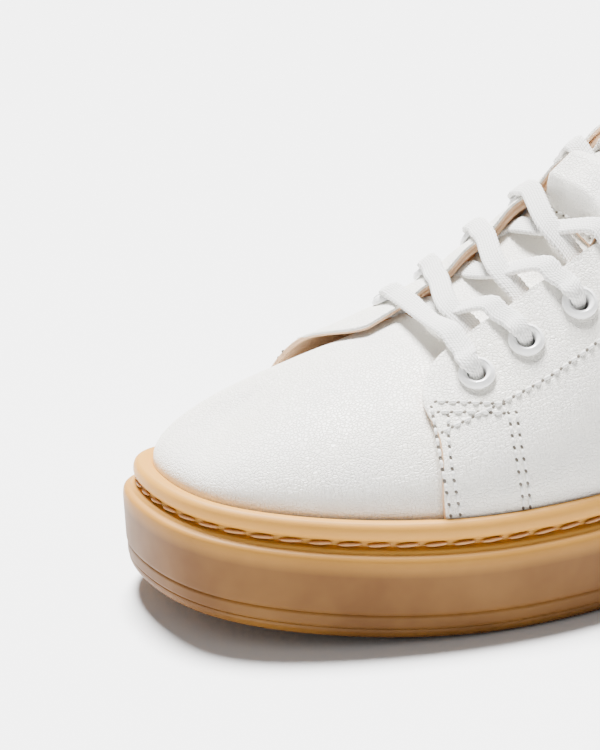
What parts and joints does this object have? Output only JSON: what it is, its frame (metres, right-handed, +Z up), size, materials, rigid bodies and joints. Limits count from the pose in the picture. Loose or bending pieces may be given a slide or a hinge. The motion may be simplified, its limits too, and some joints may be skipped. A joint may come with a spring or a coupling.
{
  "type": "court shoe",
  "caption": "Low lace-up court shoe with a smooth white leather upper, tan lining, woven lace and a stitched gum rubber cup sole.",
  "frame": {"origin": "on the ground, half way along the outsole, on the line x = 0 through the middle of the heel", "axes": "+Y from toe to heel, +X to the outer (lateral) side of the left foot, +Z up"},
  "size_m": [0.1112, 0.3, 0.1237],
  "materials": {
    "gum_rubber": "satin gum rubber",
    "midsole_foam": "matt foam",
    "lasting_board": "matt fibre board",
    "sock_foam": "matt open-cell foam",
    "sock_cover": "soft matt leather",
    "sole_thread": "waxed thread",
    "white_leather": "smooth fine-grained leather, low sheen",
    "tan_lining": "smooth matt lining leather",
    "padding_foam": "matt soft foam",
    "stiffener": "matt thermoplastic sheet",
    "white_enamel": "glossy white enamel",
    "white_cotton": "flat woven cotton",
    "clear_plastic": "clear gloss film"
  },
  "bodies": {
    "shoe": {"outsole_cup": "gum_rubber", "midsole_filler": "midsole_foam", "lasting_board": "lasting_board", "sockliner_foam": "sock_foam", "sockliner_cover": "sock_cover", "sole_stitch_thread": "sole_thread", "vamp": "white_leather", "quarter_lateral": "white_leather", "quarter_medial": "white_leather", "heel_tab": "white_leather", "tongue_leather": "white_leather", "lace_keeper": "white_leather", "vamp_lining": "tan_lining", "quarter_lining_lateral": "tan_lining", "quarter_lining_medial": "tan_lining", "collar_lining": "tan_lining", "tongue_lining": "tan_lining", "collar_foam": "padding_foam", "tongue_foam": "padding_foam", "toe_puff": "stiffener", "heel_counter": "stiffener", "eyestay_reinforcement_lateral": "stiffener", "eyestay_reinforcement_medial": "stiffener", "eyelet_lateral_1": "white_enamel", "eyelet_lateral_2": "white_enamel", "eyelet_lateral_3": "white_enamel", "eyelet_lateral_4": "white_enamel", "eyelet_lateral_5": "white_enamel", "eyelet_lateral_6": "white_enamel", "eyelet_medial_1": "white_enamel", "eyelet_medial_2": "white_enamel", "eyelet_medial_3": "white_enamel", "eyelet_medial_4": "white_enamel", "eyelet_medial_5": "white_enamel", "eyelet_medial_6": "white_enamel", "lace": "white_cotton", "aglet_lateral": "clear_plastic", "aglet_medial": "clear_plastic"},
    "tongue_tip": {"tongue_tip_leather": "white_leather", "tongue_tip_foam": "padding_foam", "tongue_tip_lining": "tan_lining"}
  },
  "joints": [
    {"name": "tongue_flex", "type": "hinge", "parent": "shoe", "child": "tongue_tip", "pos_m": [0.003, 0.0213, 0.107], "axis": [0.9023, 0, -0.4311], "range_deg": [-3, 28], "stiffness_Nm_per_rad": 0.05}
  ]
}
